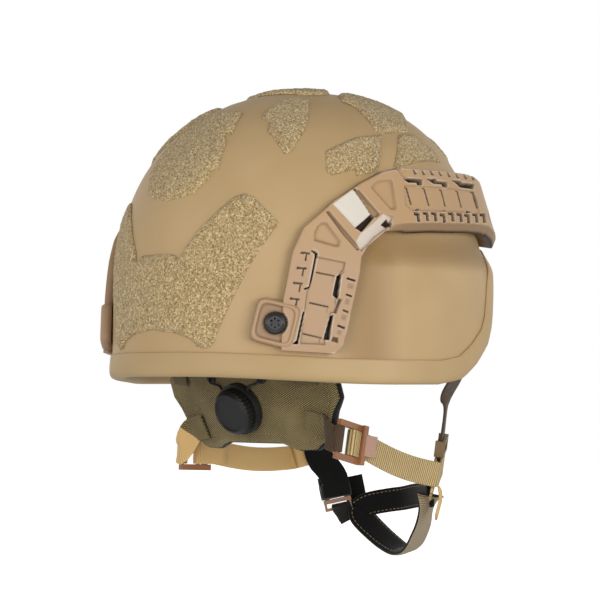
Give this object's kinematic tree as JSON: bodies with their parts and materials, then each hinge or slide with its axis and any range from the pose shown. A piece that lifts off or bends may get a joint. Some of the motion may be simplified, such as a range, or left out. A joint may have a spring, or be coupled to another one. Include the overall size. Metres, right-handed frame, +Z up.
{
  "type": "combat helmet",
  "caption": "Combat helmet: domed shell with ear domes, side rails, pile patches, padded liner, dial-drawn nape pad and chin-strap harness.",
  "frame": {"origin": "middle of the head opening, level with the rim at the nape: the seat of the wearer's head", "axes": "+Z up through the crown, -Y the way the face looks, +X toward the wearer's left"},
  "size_m": [0.261, 0.2691, 0.3218],
  "materials": {
    "shell": "matt",
    "trim": "matt",
    "pile": "woolly pile",
    "rail": "satin",
    "screw": "satin",
    "nut": "brushed",
    "pad": "knitted",
    "hook": "matt",
    "lining": "knitted",
    "cover": "coarse weave",
    "black_plastic": "matt",
    "spool": "matt",
    "band": "satin",
    "lace": "braided",
    "webbing": "ribbed webbing",
    "fitting": "glossy",
    "cup": "stitched padding"
  },
  "bodies": {
    "helmet": {"helmet_shell": "shell", "edge_trim": "trim", "patch_rear": "pile", "patch_rear_top": "pile", "patch_crown": "pile", "patch_arrow_right": "pile", "patch_arrow_left": "pile", "patch_front_top": "pile", "patch_side_rear_right": "pile", "patch_side_rear_left": "pile", "patch_side_front_right": "pile", "patch_side_front_left": "pile", "patch_front": "pile", "rail_right": "rail", "rail_left": "rail", "rail_screws": "screw", "post_nuts": "nut", "pad_crown": "pad", "pad_front": "pad", "pad_rear": "pad", "pads_side_right": "pad", "pads_side_left": "pad", "hook_discs": "hook", "headband": "band", "nape_hanger_right": "webbing", "nape_hanger_left": "webbing", "rear_strap_right": "webbing", "rear_strap_left": "webbing", "front_strap_right": "webbing", "front_strap_left": "webbing", "buckle_socket": "black_plastic", "buckle_flap": "cup"},
    "nape": {"nape_lining": "lining", "nape_cover": "cover", "eyelets": "black_plastic", "dial_base": "black_plastic", "dial_plate": "black_plastic", "lace_right": "lace", "lace_left": "lace", "nape_tab_right": "webbing", "nape_tab_left": "webbing"},
    "spool": {"dial_spool": "spool"},
    "knob": {"dial_knob": "black_plastic"},
    "lock_right": {"ladderlock_right": "fitting"},
    "lock_left": {"ladderlock_left": "fitting"},
    "slide_right": {"slider_right": "fitting"},
    "slide_left": {"slider_left": "fitting"},
    "chin": {"chin_strap_right": "webbing", "strap_tail_right": "webbing", "chin_cup": "cup", "buckle_plug": "fitting"}
  },
  "joints": [
    {"name": "nape_draw", "type": "slide", "parent": "helmet", "child": "nape", "axis": [0, -1, 0], "range_m": [0, 0.01], "deforming": ["lace_right", "lace_left", "nape_hanger_right", "nape_hanger_left", "rear_strap_right", "rear_strap_left"]},
    {"name": "dial_turn", "type": "hinge", "parent": "nape", "child": "spool", "pos_m": [0, 0.0537, -0.0225], "axis": [0, 0.9397, -0.342], "range_deg": [0, 720]},
    {"name": "dial_pull", "type": "slide", "parent": "spool", "child": "knob", "axis": [0, 0.9397, -0.342], "range_m": [0, 0.0025]},
    {"name": "ladderlock_right_tilt", "type": "hinge", "parent": "nape", "child": "lock_right", "pos_m": [-0.07998, 0.04517, -0.04202], "axis": [0.0226, -0.2147, 0.9764], "range_deg": [0, 20], "deforming": ["rear_strap_right"]},
    {"name": "ladderlock_left_tilt", "type": "hinge", "parent": "nape", "child": "lock_left", "pos_m": [0.07298, 0.04195, -0.05353], "axis": [0.0034, 0.0404, -0.9992], "range_deg": [0, 20], "deforming": ["rear_strap_left"]},
    {"name": "slider_right_slide", "type": "slide", "parent": "helmet", "child": "slide_right", "axis": [-0.2584, 0.1107, 0.9597], "range_m": [0, 0.014]},
    {"name": "slider_left_slide", "type": "slide", "parent": "helmet", "child": "slide_left", "axis": [0.2584, 0.1107, 0.9597], "range_m": [0, 0.014]},
    {"name": "chin_strap_swing", "type": "hinge", "parent": "helmet", "child": "chin", "pos_m": [-0.06, -0.072, -0.075], "axis": [-0.6, 0.8, 0], "range_deg": [0, 75], "deforming": ["chin_strap_right"]}
  ],
  "couplings": [
    {"joint": "dial_turn", "follows": "nape_draw", "rad_per_m": 1256.6}
  ]
}
